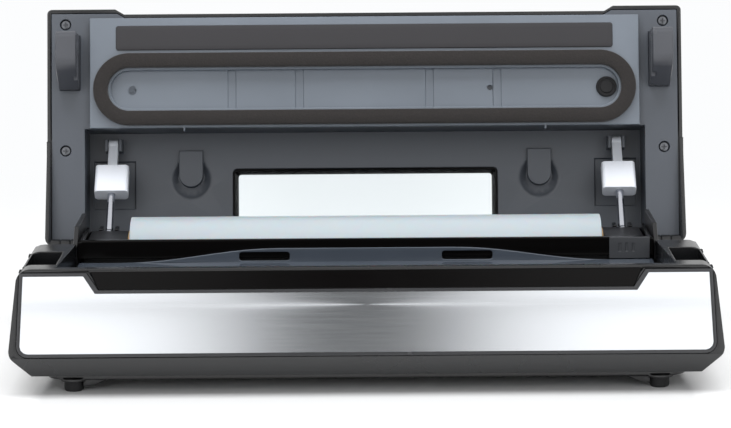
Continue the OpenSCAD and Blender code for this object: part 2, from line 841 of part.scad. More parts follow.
module lid_shell() {
    color("#2c2d30") in_lid() difference() {
        union() {
            difference() {
                lid_solid(0);
                lid_solid(wall);
            }
            // skirt over the stepped rear deck
            intersection() {
                along_z(-ledge_drop, lid_gap + 1) difference() {
                    polygon(lid_plan(0));
                    polygon(inset_plan(wall));
                }
                along_x(2 * lid_w) polygon([[skirt_start_y, lid_gap + 1],
                    [skirt_start_y, deck_at(skirt_start_y) + lid_gap], [fall_end_y, skirt_z],
                    [lid_back_y + 1, skirt_z], [lid_back_y + 1, lid_gap + 1]]);
            }
            both() rod_x(knuckles[1] + 0.3, knuckles[2] - 0.3, hinge_y, -hinge_drop, knuckle_r);
            // bosses for the liner's screws
            intersection() {
                both() for (p = lid_screw_spots) translate([p[0], p[1], lid_gap + liner_t + 2.1])
                    cylinder(h = lid_rear_h, r = 3.6);
                lid_solid(1);
            }
            on_slope() for (x = [-70, 70], y = [keys_y - 8, keys_y + 8])
                translate([x, y, -6.4]) cylinder(h = 5, r = 2.4);
        }
        both() rod_x(knuckles[1], knuckles[2], hinge_y, -hinge_drop, hinge_pin_r + fit);
        hinge_notches();
        both() for (p = lid_screw_spots) translate([p[0], p[1], lid_gap]) cylinder(h = 14, r = screw_r);
        on_slope() {
            translate([0, keys_y, -1.2]) linear_extrude(3) rounded(panel_l + 0.1, panel_w + 0.1, 5);
            key_holes(0.4, -4, 1);
        }
        window_hole(0.1);
    }
}

module window_hole(g) {
    translate([0, window_y, recess_z - 1]) linear_extrude(lid_rear_h)
        rounded(window_l + 2 * g, window_w + 2 * g, 3);
}

module finger_tongue() {
    translate([tongue_x, 0, recess_z - 3.5]) {
        block([-tongue_r, tongue_y0, 0], [tongue_r, tongue_y1, 6.5]);
        translate([0, tongue_y1, 0]) cylinder(h = 6.5, r = tongue_r);
    }
}

module lid_liner() {
    rim_top = lid_gap + liner_t;
    color("#70747a") in_lid() difference() {
        union() {
            difference() {
                union() {
                    along_z(lid_gap, rim_top) polygon(inset_plan(wall + 0.2));
                    block([-recess_x - liner_t, platform_rear_y - liner_t, lid_gap],
                        [recess_x + liner_t, recess_rear_y + liner_t, recess_z + liner_t]);
                }
                block([-recess_x, platform_rear_y, lid_gap - 1], [recess_x, recess_rear_y, recess_z]);
            }
            // cups for the screw heads
            both() for (p = lid_screw_spots) translate([p[0], p[1], lid_gap]) cylinder(h = 4, r = 4.8);
            // ears for the strut pins
            both() for (s = [-1, 1]) translate([strut_x + s * 4.4, 0, 0]) block(
                [-1, strut_up[0] - 4, strut_up[1] - 4], [1, strut_up[0] + 4, recess_z + 1]);
            both() finger_tongue();
            // backs of the struts' pockets and of the finger dishes
            both() block([strut_x - strut_w / 2 - pocket_side - 1.5, pocket_y0 - 1.5, recess_z],
                [strut_x + strut_w / 2 + pocket_side + 1.5, pocket_y1 + 1.5, recess_z + dish_d + dish_back]);
            both() translate([tongue_x, dish_y, recess_z]) cylinder(h = dish_d + dish_back, r = dish_r + 1);
        }
        difference() {
            both() translate([tongue_x, dish_y, recess_z - 0.01])
                cylinder(h = dish_d, r1 = dish_r, r2 = dish_r - 5);
            both() finger_tongue();
        }
        both() for (p = lid_screw_spots) {
            translate([p[0], p[1], lid_gap - 1]) cylinder(h = 3.2, r = head_r + 0.2);
            translate([p[0], p[1], lid_gap]) cylinder(h = 6, r = screw_r + 0.3);
        }
        // holes for the hooks' roots
        both() block([hook_x - hook_t / 2 - 0.05, hook_y0 - 0.05, lid_gap - 1],
            [hook_x + hook_t / 2 + 0.05, hook_y1 + 0.05, rim_top + 1]);
        // pockets behind the struts
        both() block([strut_x - strut_w / 2 - pocket_side, pocket_y0, recess_z - 1],
            [strut_x + strut_w / 2 + pocket_side, pocket_y1, recess_z + pocket_d]);
        both() rod_x(strut_x - 6, strut_x + 6, strut_up[0], strut_up[1], strut_pin_r);
        hinge_notches();
        window_hole(0.1);
    }
}

// Plate that carries the pad and the gasket, with the vacuum channel sunk into it
module seal_plate() {
    inner_l = gasket_l - 2 * gasket_band - 3;
    inner_w = gasket_w - 2 * gasket_band - 3;
    px = platform_x;
    color("#8f969d") in_lid() difference() {
        union() {
            difference() {
                block([-px, platform_front_y, platform_z], [px, platform_rear_y, lid_gap]);
                block([-px + liner_t, platform_front_y + liner_t, platform_z + liner_t],
                    [px - liner_t, platform_rear_y - liner_t, lid_gap + 1]);
            }
            along_z(platform_z, platform_z + 5.5) translate([0, gasket_y]) slot(inner_l + 3, inner_w + 3);
            // tabs at the rear edge
            both() block([tongue_x + 1.4, platform_rear_y - 1, platform_z],
                [tongue_x + 2.6, platform_rear_y + 2.2, -1]);
        }
        along_z(platform_z - 1, platform_z + channel_d) translate([0, gasket_y]) slot(inner_l, inner_w);
        for (x = [-82.6, -40.5, 40.5, 82.6]) block([x - 2.5, gasket_y - inner_w / 2, platform_z + 1],
            [x + 2.5, gasket_y + inner_w / 2, platform_z + channel_d + 0.8]);
        translate([plug_x, gasket_y, platform_z]) cylinder(h = 8, r = plug_r);
        translate([78, gasket_y, platform_z]) cylinder(h = 8, r = 1.6);
    }
}

module window() {
    top = lid_gap + lid_rear_h - 0.3;
    color("#dfe8ee", 0.4) in_lid() translate([0, window_y, 0]) difference() {
        along_z(recess_z, top) rounded(window_l, window_w, 3);
        along_z(recess_z - 1, top - 2)
            rounded(window_l - 2 * window_rim, window_w - 2 * window_rim, 1.5);
    }
}

module sealing_pad() {
    color("#4b4a4f") in_lid() along_z(platform_z - pad_h, platform_z) translate([0, pad_y])
        rounded(seal_l, pad_w, 1.6);
}

module lid_gasket() {
    color("#38302e") in_lid() along_z(platform_z - gasket_h, platform_z) translate([0, gasket_y])
        difference() {
            slot(gasket_l, gasket_w);
            slot(gasket_l - 2 * gasket_band, gasket_w - 2 * gasket_band);
        }
}

module hook() {
    notch_z = latch_z - 0.4;
    difference() {
        translate([hook_x, 0, 0]) along_x(hook_t) polygon(concat(
            [[hook_y0, lid_gap + liner_t]],
            arc(hook_y0 + 4, -hook_d + 4, 4, 180, 270, 5),
            arc(hook_y0 + 16, -hook_d + 12, 12, -90, -45, 5),
            [[hook_y1, -6], [hook_y1, lid_gap + liner_t]]));
        block([hook_x - hook_t / 2 - 1, hook_y0 - 1, notch_z],
            [hook_x - hook_t / 2 + tongue + 0.5, hook_y1 + 1, latch_z + latch_t + 0.4]);
    }
    block([hook_x - hook_t / 2 - 1.2, hook_y0 - 2, lid_gap + liner_t],
        [hook_x + hook_t / 2 + 1.2, hook_y1 + 2, lid_gap + liner_t + 2.4]);
}

module hook_right() {
    color("#5c5e64") in_lid() hook();
}

module hook_left() {
    color("#5c5e64") in_lid() mirror([1, 0, 0]) hook();
}

module port_plug() {
    color("#1f1f21") in_lid() translate([plug_x, gasket_y, platform_z + 1.6]) {
        cylinder(h = 4.6, r = plug_r - 0.05);
        difference() {
            cylinder(h = 2.3, r = plug_r + 2);
            translate([0, 0, -1]) cylinder(h = 1.6, r = plug_r + 1);
        }
    }
}

module lid_screws() {
    color("silver") in_lid() both() for (p = lid_screw_spots) translate([p[0], p[1], lid_gap]) {
        translate([0, 0, 0.3]) cylinder(h = 1.9, r = head_r);
        translate([0, 0, 1]) cylinder(h = 11, r = screw_r);
    }
}

module strut_pins() {
    color("silver") in_lid() both()
        rod_x(strut_x - 5.4, strut_x + 5.4, strut_up[0], strut_up[1], strut_pin_r);
}

module control_panel() {
    color("#101113") in_lid() on_slope() difference() {
        translate([0, keys_y, -1.2]) linear_extrude(1.5) rounded(panel_l, panel_w, 5);
        key_holes(0.3, -3, 1);
        for (x = key_xs) translate([x, lamp_y, -3]) cylinder(h = 5, r = lamp_r);
    }
}

module indicator_lens() {
    color("#58d06a") in_lid() on_slope() for (x = key_xs)
        translate([x, lamp_y, -1.2]) cylinder(h = 1.7, r = lamp_r);
}

module lid_board() {
    color("darkgreen") in_lid() on_slope() {
        translate([0, keys_y, -8]) linear_extrude(1.6) rounded(panel_l - 4, panel_w, 2);
        for (x = key_xs) translate([x, keys_y, -7]) cylinder(h = 1.6, r = 3);
    }
}

module key_at(i) {
    color("#3b3d42") in_lid() on_slope() translate([key_xs[i], keys_y, -4]) linear_extrude(5.2)
        rounded(key_l, key_w, 4);
}

module key_vacuum() { key_at(0); }

module key_seal() { key_at(1); }

module key_pulse() { key_at(2); }

module key_food() { key_at(3); }

module key_stop() { key_at(4); }

// ---- lid struts, drawn along +Y from their upper pin ----
module in_strut(s) {
    in_lid() translate([s * strut_x, strut_up[0], strut_up[1]]) rotate([strut_dir, 0, 0]) children();
}

module strut_body() {
    difference() {
        union() {
            rod_x(-3, 3, 0, 0, 3.6);
            block([-3, 0, -2.8], [3, neck_l + 1, 2.8]);
            along_y(neck_l, neck_l + block_l) rounded(strut_w, block_t, 2.5);
        }
        rod_x(-4, 4, 0, 0, strut_pin_r + fit);
        along_y(neck_l + 2, neck_l + block_l + 1) circle(rod_r + fit);
    }
}

module strut_rod() {
    along_y(rod_inside, strut_len) circle(rod_r);
    translate([0, strut_len, 0]) sphere(ball_r);
}

module strut_body_left() {
    color("#f4f7fd") in_strut(-1) strut_body();
}

module strut_body_right() {
    color("#f4f7fd") in_strut(1) strut_body();
}

module strut_rod_left() {
    color("#cdd1e2") in_strut(-1) strut_rod();
}

module strut_rod_right() {
    color("#cdd1e2") in_strut(1) strut_rod();
}

base_housing();
bottom_cover();
feet();
base_screws();
front_bezel();
front_panel();
gloss_strip();
sealing_deck();
roll_bay();
drip_tray();
heater_bar();
heater_element();
heater_tape();
cutter_rail();
rail_pins();
cutter_slider();
cutter_blade();
bag_roll();
roll_core();
release_left();
release_right();
hinge_pins();
power_inlet();
main_board();
transformer();
vacuum_pump();
pump_motor();
vacuum_hose();
pressure_switch();
lid_switches();
lid_shell();
lid_liner();
seal_plate();
window();
sealing_pad();
lid_gasket();
hook_left();
hook_right();
port_plug();
lid_screws();
strut_pins();
control_panel();
indicator_lens();
lid_board();
key_vacuum();
key_seal();
key_pulse();
key_food();
key_stop();
strut_body_left();
strut_body_right();
strut_rod_left();
strut_rod_right();
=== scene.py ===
"""Vacuum sealer: finishes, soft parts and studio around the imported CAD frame."""
import json
import logging
import math
from dataclasses import dataclass
from enum import Enum
from typing import Any, Sequence

import bmesh
import bpy
from mathutils import Matrix, Vector


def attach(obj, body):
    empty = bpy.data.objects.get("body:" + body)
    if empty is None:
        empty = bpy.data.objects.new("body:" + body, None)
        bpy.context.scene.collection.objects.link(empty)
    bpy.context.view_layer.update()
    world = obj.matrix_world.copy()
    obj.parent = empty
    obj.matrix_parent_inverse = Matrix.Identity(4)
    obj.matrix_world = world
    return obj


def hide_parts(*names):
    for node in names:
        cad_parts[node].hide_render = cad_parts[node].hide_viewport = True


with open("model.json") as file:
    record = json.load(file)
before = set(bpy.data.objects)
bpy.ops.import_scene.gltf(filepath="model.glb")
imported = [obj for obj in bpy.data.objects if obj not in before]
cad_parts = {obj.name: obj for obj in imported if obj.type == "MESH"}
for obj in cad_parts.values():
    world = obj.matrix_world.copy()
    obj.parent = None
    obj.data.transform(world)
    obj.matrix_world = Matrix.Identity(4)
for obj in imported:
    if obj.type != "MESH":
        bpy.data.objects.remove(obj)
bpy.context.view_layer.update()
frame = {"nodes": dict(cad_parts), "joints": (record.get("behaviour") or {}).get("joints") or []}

LOG = logging.getLogger("vacuum_sealer")
MM = 0.001
# A ring's corner radius stays this far under half its width, so that it has no doubled points
NEAR_ROUND = 0.001


# ---- colour and node helpers ----
def linear(hex_colour: str) -> tuple[float, float, float, float]:
    """Turn an sRGB hex colour into linear RGBA.

    Args:
        hex_colour: Six hex digits, with or without a leading hash sign.

    Returns:
        Linear red, green, blue and an alpha of 1.
    """
    digits = hex_colour.lstrip("#")
    channels = [int(digits[i:i + 2], 16) / 255 for i in (0, 2, 4)]
    out = [c / 12.92 if c <= 0.04045 else ((c + 0.055) / 1.055) ** 2.4 for c in channels]
    return (out[0], out[1], out[2], 1.0)


def add(tree: bpy.types.NodeTree, kind: str, settings: dict[str, Any] | None = None,
        links: dict[str, Any] | None = None) -> bpy.types.Node:
    """Add a node with its settings and links.

    Args:
        tree: The tree that takes the node.
        kind: The node's type name.
        settings: Attributes of the node, or values of its input sockets by name.
        links: Output sockets that feed its inputs, by input name or index.

    Returns:
        The new node.
    """
    node = tree.nodes.new(kind)
    for key, value in (settings or {}).items():
        if hasattr(node, key):
            setattr(node, key, value)
        else:
            node.inputs[key].default_value = value
    for key, output in (links or {}).items():
        tree.links.new(output, node.inputs[key])
    return node


def start_material(name: str) -> tuple[bpy.types.Material, bpy.types.NodeTree, bpy.types.Node]:
    """Make an empty node material with its output.

    Args:
        name: The material's name.

    Returns:
        The material, its node tree and its output node.
    """
    material = bpy.data.materials.new(name)
    material.use_nodes = True
    tree = material.node_tree
    tree.nodes.clear()
    return material, tree, add(tree, "ShaderNodeOutputMaterial")


def object_coords(tree: bpy.types.NodeTree, scale: Sequence[float] = (1, 1, 1),
                  turn: Sequence[float] = (0, 0, 0)) -> bpy.types.NodeSocket:
    """Object coordinates, stretched and turned.

    Args:
        tree: The tree that takes the nodes.
        scale: Stretch along X, Y and Z.
        turn: Euler angles in radians.

    Returns:
        The vector output.
    """
    coords = add(tree, "ShaderNodeTexCoord")
    mapping = add(tree, "ShaderNodeMapping", {"Scale": scale, "Rotation": turn},
                  {"Vector": coords.outputs["Object"]})
    return mapping.outputs["Vector"]


# ---- finishes ----
@dataclass(frozen=True)
class Moulded:
    """Injection-moulded or cast plastic and rubber, with the grain of its mould."""

    name: str
    colour: str
    roughness: float = 0.42
    ior: float = 1.53
    grain_mm: float = 1.1
    grain_depth_mm: float = 0.03
    shade: float = 0.12
    coat: float = 0.0
    sheen: float = 0.0
    translucency: float = 0.0
    uneven: float = 0.08
    mirror: float = 0.5

    def build(self) -> bpy.types.Material:
        """Build the material: grain as bump, and slow changes of tone and polish."""
        material, tree, out = start_material(self.name)
        where = object_coords(tree)
        grain = add(tree, "ShaderNodeTexNoise", {"Scale": 1000 / self.grain_mm, "Detail": 3.0,
                                                 "Roughness": 0.6}, {"Vector": where})
        slow = add(tree, "ShaderNodeTexNoise", {"Scale": 22.0, "Detail": 4.0}, {"Vector": where})
        base = linear(self.colour)
        dark = tuple(c * (1 - self.shade) for c in base[:3]) + (1.0,)
        light = tuple(min(1.0, c * (1 + self.shade)) for c in base[:3]) + (1.0,)
        tone = add(tree, "ShaderNodeMix", {"data_type": "RGBA"}, {0: slow.outputs["Fac"]})
        tone.inputs[6].default_value = dark
        tone.inputs[7].default_value = light
        polish = add(tree, "ShaderNodeMapRange", {"To Min": self.roughness - self.uneven,
                                                  "To Max": self.roughness + self.uneven},
                     {"Value": slow.outputs["Fac"]})
        bump = add(tree, "ShaderNodeBump", {"Strength": 0.6, "Distance": self.grain_depth_mm * MM},
                   {"Height": grain.outputs["Fac"]})
        shader = add(tree, "ShaderNodeBsdfPrincipled",
                     {"IOR": self.ior, "Specular IOR Level": self.mirror,
                      "Coat Weight": self.coat, "Coat Roughness": 0.05,
                      "Sheen Weight": self.sheen, "Transmission Weight": self.translucency},
                     {"Base Color": tone.outputs[2], "Roughness": polish.outputs["Result"],
                      "Normal": bump.outputs["Normal"]})
        tree.links.new(shader.outputs["BSDF"], out.inputs["Surface"])
        return material


@dataclass(frozen=True)
class Metal:
    """Steel as drawn, plated or brushed, with lines along one axis."""

    name: str
    colour: str
    roughness: float = 0.22
    line_mm: float = 0.5
    line_depth_mm: float = 0.01
    stretch: tuple[float, float, float] = (1.0, 1.0, 1.0)
    anisotropy: float = 0.0
    streak: float = 0.06

    def build(self) -> bpy.types.Material:
        """Build the material: stretched noise gives the lines, their depth and their tone."""
        material, tree, out = start_material(self.name)
        where = object_coords(tree, self.stretch)
        lines = add(tree, "ShaderNodeTexNoise", {"Scale": 1000 / self.line_mm, "Detail": 5.0,
                                                 "Roughness": 0.7}, {"Vector": where})
        base = linear(self.colour)
        dark = tuple(c * (1 - self.streak) for c in base[:3]) + (1.0,)
        tone = add(tree, "ShaderNodeMix", {"data_type": "RGBA"}, {0: lines.outputs["Fac"]})
        tone.inputs[6].default_value = dark
        tone.inputs[7].default_value = base
        polish = add(tree, "ShaderNodeMapRange", {"To Min": self.roughness * 0.8,
                                                  "To Max": self.roughness * 1.2},
                     {"Value": lines.outputs["Fac"]})
        bump = add(tree, "ShaderNodeBump", {"Strength": 0.5, "Distance": self.line_depth_mm * MM},
                   {"Height": lines.outputs["Fac"]})
        shader = add(tree, "ShaderNodeBsdfPrincipled", {"Metallic": 1.0, "Anisotropic": self.anisotropy,
                                                        "Anisotropic Rotation": 0.25},
                     {"Base Color": tone.outputs[2], "Roughness": polish.outputs["Result"],
                      "Normal": bump.outputs["Normal"]})
        if self.anisotropy:
            along = add(tree, "ShaderNodeTangent", {"direction_type": "RADIAL", "axis": "Z"})
            tree.links.new(along.outputs["Tangent"], shader.inputs["Tangent"])
        tree.links.new(shader.outputs["BSDF"], out.inputs["Surface"])
        return material


@dataclass(frozen=True)
class Foam:
    """Closed-cell foam or woven cloth: fine pits over the whole surface."""

    name: str
    colour: str
    cell_mm: float = 1.2
    depth_mm: float = 0.12
    roughness: float = 0.8

    def build(self) -> bpy.types.Material:
        """Build the material: Voronoi cells darken and dent the surface."""
        material, tree, out = start_material(self.name)
        where = object_coords(tree)
        cells = add(tree, "ShaderNodeTexVoronoi", {"Scale": 1000 / self.cell_mm}, {"Vector": where})
        base = linear(self.colour)
        tone = add(tree, "ShaderNodeMix", {"data_type": "RGBA"}, {0: cells.outputs["Distance"]})
        tone.inputs[6].default_value = tuple(c * 0.7 for c in base[:3]) + (1.0,)
        tone.inputs[7].default_value = tuple(min(1.0, c * 1.25) for c in base[:3]) + (1.0,)
        bump = add(tree, "ShaderNodeBump", {"Strength": 0.7, "Distance": self.depth_mm * MM},
                   {"Height": cells.outputs["Distance"]})
        shader = add(tree, "ShaderNodeBsdfPrincipled", {"Roughness": self.roughness, "IOR": 1.5,
                                                        "Sheen Weight": 0.15},
                     {"Base Color": tone.outputs[2], "Normal": bump.outputs["Normal"]})
        tree.links.new(shader.outputs["BSDF"], out.inputs["Surface"])
        return material


@dataclass(frozen=True)
class BagFilm:
    """Embossed polyethylene film, wound many layers deep, milky and half clear."""

    name: str
    colour: str
    pitch_mm: float = 3.2
    depth_mm: float = 0.05

    def build(self) -> bpy.types.Material:
        """Build the material: two crossing sets of ridges emboss a diamond net."""
        material, tree, out = start_material(self.name)
        heights = []
        for turn in (0.6, -0.6):
            where = object_coords(tree, turn=(0, 0, turn))
            heights.append(add(tree, "ShaderNodeTexWave",
                               {"Scale": 1000 / self.pitch_mm / 6.28, "bands_direction": "X"},
                               {"Vector": where}).outputs["Fac"])
        net = add(tree, "ShaderNodeMath", {"operation": "MAXIMUM"}, {0: heights[0], 1: heights[1]})
        slow = add(tree, "ShaderNodeTexNoise", {"Scale": 30.0, "Detail": 3.0},
                   {"Vector": object_coords(tree, (0.3, 1, 1))})
        base = linear(self.colour)
        tone = add(tree, "ShaderNodeMix", {"data_type": "RGBA"}, {0: slow.outputs["Fac"]})
        tone.inputs[6].default_value = tuple(c * 0.9 for c in base[:3]) + (1.0,)
        tone.inputs[7].default_value = base
        bump = add(tree, "ShaderNodeBump", {"Strength": 0.35, "Distance": self.depth_mm * MM},
                   {"Height": net.outputs[0]})
        shader = add(tree, "ShaderNodeBsdfPrincipled",
                     {"Roughness": 0.32, "IOR": 1.51, "Subsurface Weight": 0.35,
                      "Subsurface Scale": 0.004, "Coat Weight": 0.2},
                     {"Base Color": tone.outputs[2], "Normal": bump.outputs["Normal"]})
        tree.links.new(shader.outputs["BSDF"], out.inputs["Surface"])
        return material


@dataclass(frozen=True)
class ClearSheet:
    """Clear polycarbonate, with faint flow marks from its mould."""

    name: str
    tint: str = "#eef4f6"

    def build(self) -> bpy.types.Material:
        """Build the material: a clear dielectric with a barely uneven surface."""
        material, tree, out = start_material(self.name)
        flow = add(tree, "ShaderNodeTexNoise", {"Scale": 40.0}, {"Vector": object_coords(tree)})
        bump = add(tree, "ShaderNodeBump", {"Strength": 0.1, "Distance": 0.02 * MM},
                   {"Height": flow.outputs["Fac"]})
        shader = add(tree, "ShaderNodeBsdfPrincipled",
                     {"Base Color": linear(self.tint), "Roughness": 0.03, "IOR": 1.58,
                      "Transmission Weight": 1.0}, {"Normal": bump.outputs["Normal"]})
        tree.links.new(shader.outputs["BSDF"], out.inputs["Surface"])
        return material


class Slot(Enum):
    """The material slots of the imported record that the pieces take."""

    SHELL = "shell_plastic"
    LINER = "liner_plastic"
    PLATE = "plate_plastic"
    DARK = "dark_plastic"
    GLOSS = "gloss_black"
    BEZEL = "bezel_grey"
    PANEL = "brushed_panel"
    TRAY = "tray_plastic"
    CARRIER = "heater_ceramic"
    STEEL = "steel"
    SCREW = "screw_steel"
    CLOTH = "heater_cloth"
    RUBBER = "rubber_dark"
    PAD = "pad_rubber"
    FOAM = "foam"
    NYLON = "nylon_white"
    FILM = "bag_film"
    CARD = "cardboard"
    HOOK = "hook_plastic"
    WINDOW = "window_clear"
    BOARD = "board_green"
    COIL = "coil_iron"
    HOSE = "hose_silicone"
    SWITCH = "switch_red"
    LAMP = "lamp_green"
    KEY = "key_grey"


FINISHES: dict[Slot, Any] = {
    # ABS, spark-textured mould: a near-black grey with a soft highlight
    Slot.SHELL: Moulded("abs_textured_black", "#121315", 0.26, 1.53, 1.2, 0.02),
    # ABS, lighter grey, finer mould
    Slot.PLATE: Moulded("abs_fine_grey", "#69717b", 0.34, 1.53, 0.9, 0.015),
    # ABS, fine satin mould: cool mid-grey that picks up the soft light
    Slot.LINER: Moulded("abs_satin_grey", "#474c54", 0.40, 1.53, 1.0, 0.02),
    # ABS, satin black inside the base
    Slot.DARK: Moulded("abs_satin_black", "#121214", 0.34, 1.53, 1.0, 0.02),
    # ABS from a polished mould: piano black with sharp reflections
    Slot.GLOSS: Moulded("abs_polished_black", "#0c0b0b", 0.12, 1.54, 6.0, 0.004, uneven=0.04, mirror=0.07),
    # ABS, grey and half gloss
    Slot.BEZEL: Moulded("abs_half_gloss_grey", "#242528", 0.25, 1.53, 2.0, 0.008),
    # stainless steel sheet, brushed along its length: long lines, wide streaked highlight
    Slot.PANEL: Metal("stainless_brushed", "#d5d8dc", 0.17, 0.55, 0.003, (0.012, 1.0, 1.0), 0.9, 0.1),
    # smoky polycarbonate: dark blue-grey, polished
    Slot.TRAY: Moulded("polycarbonate_smoky", "#4b525c", 0.14, 1.58, 5.0, 0.004, coat=0.3, uneven=0.05),
    # mica-filled silicone carrier
    Slot.CARRIER: Moulded("mica_silicone_buff", "#b8b0a0", 0.6),
    # zinc-plated steel
    Slot.STEEL: Metal("steel_plated", "#c9ccd4", 0.16, 0.8, 0.004),
    # steel screws with a black phosphate coat
    Slot.SCREW: Metal("steel_phosphated", "#66686c", 0.34, 0.7, 0.01),
    # glass cloth coated with PTFE: brown with a fine weave
    Slot.CLOTH: Foam("ptfe_glass_cloth", "#4a3326", 0.9, 0.05, 0.45),
    # silicone rubber, black and matte
    Slot.RUBBER: Moulded("silicone_rubber_black", "#141416", 0.62, 1.41, 0.9, 0.02),
    # silicone rubber, charcoal, slightly silky
    Slot.PAD: Moulded("silicone_rubber_charcoal", "#2b2a2d", 0.5, 1.41, 0.8, 0.03, sheen=0.1),
    # neoprene foam, die-cut
    Slot.FOAM: Foam("neoprene_foam", "#1d1918"),
    # natural polyamide: white, faintly translucent
    Slot.NYLON: Moulded("polyamide_natural", "#e2e6ee", 0.35, 1.53, 1.4, 0.01, shade=0.03),
    # embossed polyethylene film
    Slot.FILM: BagFilm("polyethylene_embossed", "#b2bcc2"),
    # wound kraft board
    Slot.CARD: Moulded("kraft_board", "#a58a63", 0.8, 1.5, 1.6, 0.06, shade=0.2),
    # acetal, dark grey, half gloss
    Slot.HOOK: Moulded("acetal_grey", "#43454b", 0.25, 1.48, 2.0, 0.01),
    Slot.WINDOW: ClearSheet("polycarbonate_clear"),
    # glass-epoxy board with green solder mask
    Slot.BOARD: Moulded("solder_mask_green", "#0f4a26", 0.3, 1.5, 2.4, 0.03, shade=0.3),
    # laminated iron with varnish
    Slot.COIL: Metal("iron_varnished", "#6c6458", 0.5, 0.6, 0.05, (1.0, 1.0, 0.1)),
    # milky silicone tube
    Slot.HOSE: Moulded("silicone_milky", "#cfcfc6", 0.4, 1.41, 2.0, 0.01, shade=0.05),
    # phenolic switch body
    Slot.SWITCH: Moulded("phenolic_red", "#7c2a20", 0.35),
    # diffused acrylic lens
    Slot.LAMP: Moulded("acrylic_green", "#3fae58", 0.2, 1.49, 3.0, 0.005),
    # ABS keys, satin
    Slot.KEY: Moulded("abs_satin_key", "#3a3c40", 0.4, 1.53, 0.9, 0.025),
}


class Wardrobe:
    """Builds each finish once and dresses pieces with it."""

    def __init__(self) -> None:
        """Start with no material built."""
        self.built: dict[Slot, bpy.types.Material] = {}

    def material(self, slot: Slot) -> bpy.types.Material:
        """The material of a slot, built on first use."""
        if slot not in self.built:
            self.built[slot] = FINISHES[slot].build()
        return self.built[slot]

    def dress(self, piece: bpy.types.Object, slot: Slot) -> None:
        """Put a slot's material on every part of a piece."""
        piece.data.materials.clear()
        piece.data.materials.append(self.material(slot))


WARDROBE = Wardrobe()


# ---- places: the base's deck frame and the shut lid's frame ----
@dataclass(frozen=True)
class Places:
    """Turns millimetres drawn on the base or on the shut lid into the row frame."""

    hinge_y: float = 150.7
    hinge_z: float = -14.3

    def base(self) -> Matrix:
        """The deck frame: y from the front top edge, z from the top plane."""
        pin = self._pin()
        return Matrix.Translation(pin - Vector((0, self.hinge_y, self.hinge_z)) * MM) @ Matrix.Scale(MM, 4)

    def lid(self) -> Matrix:
        """The shut lid's frame, turned open."""
        joint = next(j for j in frame["joints"] if j["name"] == "lid_hinge")
        turn = Matrix.Rotation(math.radians(joint["range_deg"][0]), 4, "X")
        pin = self._pin()
        centre = Matrix.Translation(pin)
        return centre @ turn @ centre.inverted() @ self.base()

    @staticmethod
    def _pin() -> Vector:
        """The hinge pin's middle in the row frame."""
        joint = next(j for j in frame["joints"] if j["name"] == "lid_hinge")
        return Vector(joint["pos_m"])


PLACES = Places()


# ---- mesh helpers ----
Ring = list[bmesh.types.BMVert]


def ring(bm: bmesh.types.BMesh, length: float, width: float, radius: float, z: float,
         centre: Sequence[float] = (0.0, 0.0), steps: int = 8) -> Ring:
    """A rounded rectangle of vertices and edges, made from a circle pulled apart.

    Args:
        bm: The mesh being built.
        length: Size along X.
        width: Size along Y.
        radius: Corner radius.
        z: Height.
        centre: Middle in X and Y.
        steps: Edges in each corner.

    Returns:
        Its vertices in order.
    """
    half = math.pi / (4 * steps)
    made = bmesh.ops.create_circle(bm, cap_ends=False, segments=4 * steps, radius=radius,
                                   matrix=Matrix.Rotation(half, 4, "Z"))
    verts = made["verts"]
    for v in verts:
        v.co.x += math.copysign(length / 2 - radius, v.co.x) + centre[0]
        v.co.y += math.copysign(width / 2 - radius, v.co.y) + centre[1]
        v.co.z = z
    return verts


def ring_edges(verts: Ring) -> list[bmesh.types.BMEdge]:
    """The edges that join a ring's own vertices."""
    own = set(verts)
    return list({e for v in verts for e in v.link_edges if all(w in own for w in e.verts)})


def loft(bm: bmesh.types.BMesh, rings: Sequence[Ring], first_cap: bool = True,
         last_cap: bool = True, closed: bool = False) -> None:
    """Join rings one after another, and close the ends.

    Args:
        bm: The mesh being built.
        rings: Rings in order.
        first_cap: Whether the first ring gets a face.
        last_cap: Whether the last ring gets a face.
        closed: Whether the last ring joins the first.
    """
    edges = [ring_edges(r) for r in rings]
    pairs = list(zip(edges, edges[1:]))
    if closed:
        pairs.append((edges[-1], edges[0]))
    for a, b in pairs:
        bmesh.ops.bridge_loops(bm, edges=a + b)
    if first_cap and not closed:
        bmesh.ops.contextual_create(bm, geom=edges[0])
    if last_cap and not closed:
        bmesh.ops.contextual_create(bm, geom=edges[-1])


def finish_piece(name: str, bm: bmesh.types.BMesh, place: Matrix, slot: Slot, body: str,
                 stands_for: Sequence[str] = (), smooth_deg: float = 35.0) -> bpy.types.Object:
    """Turn a mesh being built into a dressed piece that rides on its body.

    Args:
        name: The piece's name.
        bm: The mesh, in millimetres of its own frame.
        place: The matrix that brings it into the row frame.
        slot: Its material slot.
        body: The CAD body it rides on.
        stands_for: CAD nodes that it replaces.
        smooth_deg: Edges sharper than this stay sharp.

    Returns:
        The piece.
    """
    bmesh.ops.remove_doubles(bm, verts=bm.verts, dist=1e-4)
    bmesh.ops.recalc_face_normals(bm, faces=bm.faces)
    bmesh.ops.transform(bm, matrix=place, verts=bm.verts)
    for face in bm.faces:
        face.smooth = True
    for edge in bm.edges:
        edge.smooth = edge.calc_face_angle(math.pi) < math.radians(smooth_deg)
    mesh = bpy.data.meshes.new(name)
    bm.to_mesh(mesh)
    bm.free()
    piece = bpy.data.objects.new(name, mesh)
    bpy.context.scene.collection.objects.link(piece)
    WARDROBE.dress(piece, slot)
    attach(piece, body)
    if stands_for:
        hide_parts(*stands_for)
    LOG.info("piece %s on %s", name, body)
    return piece


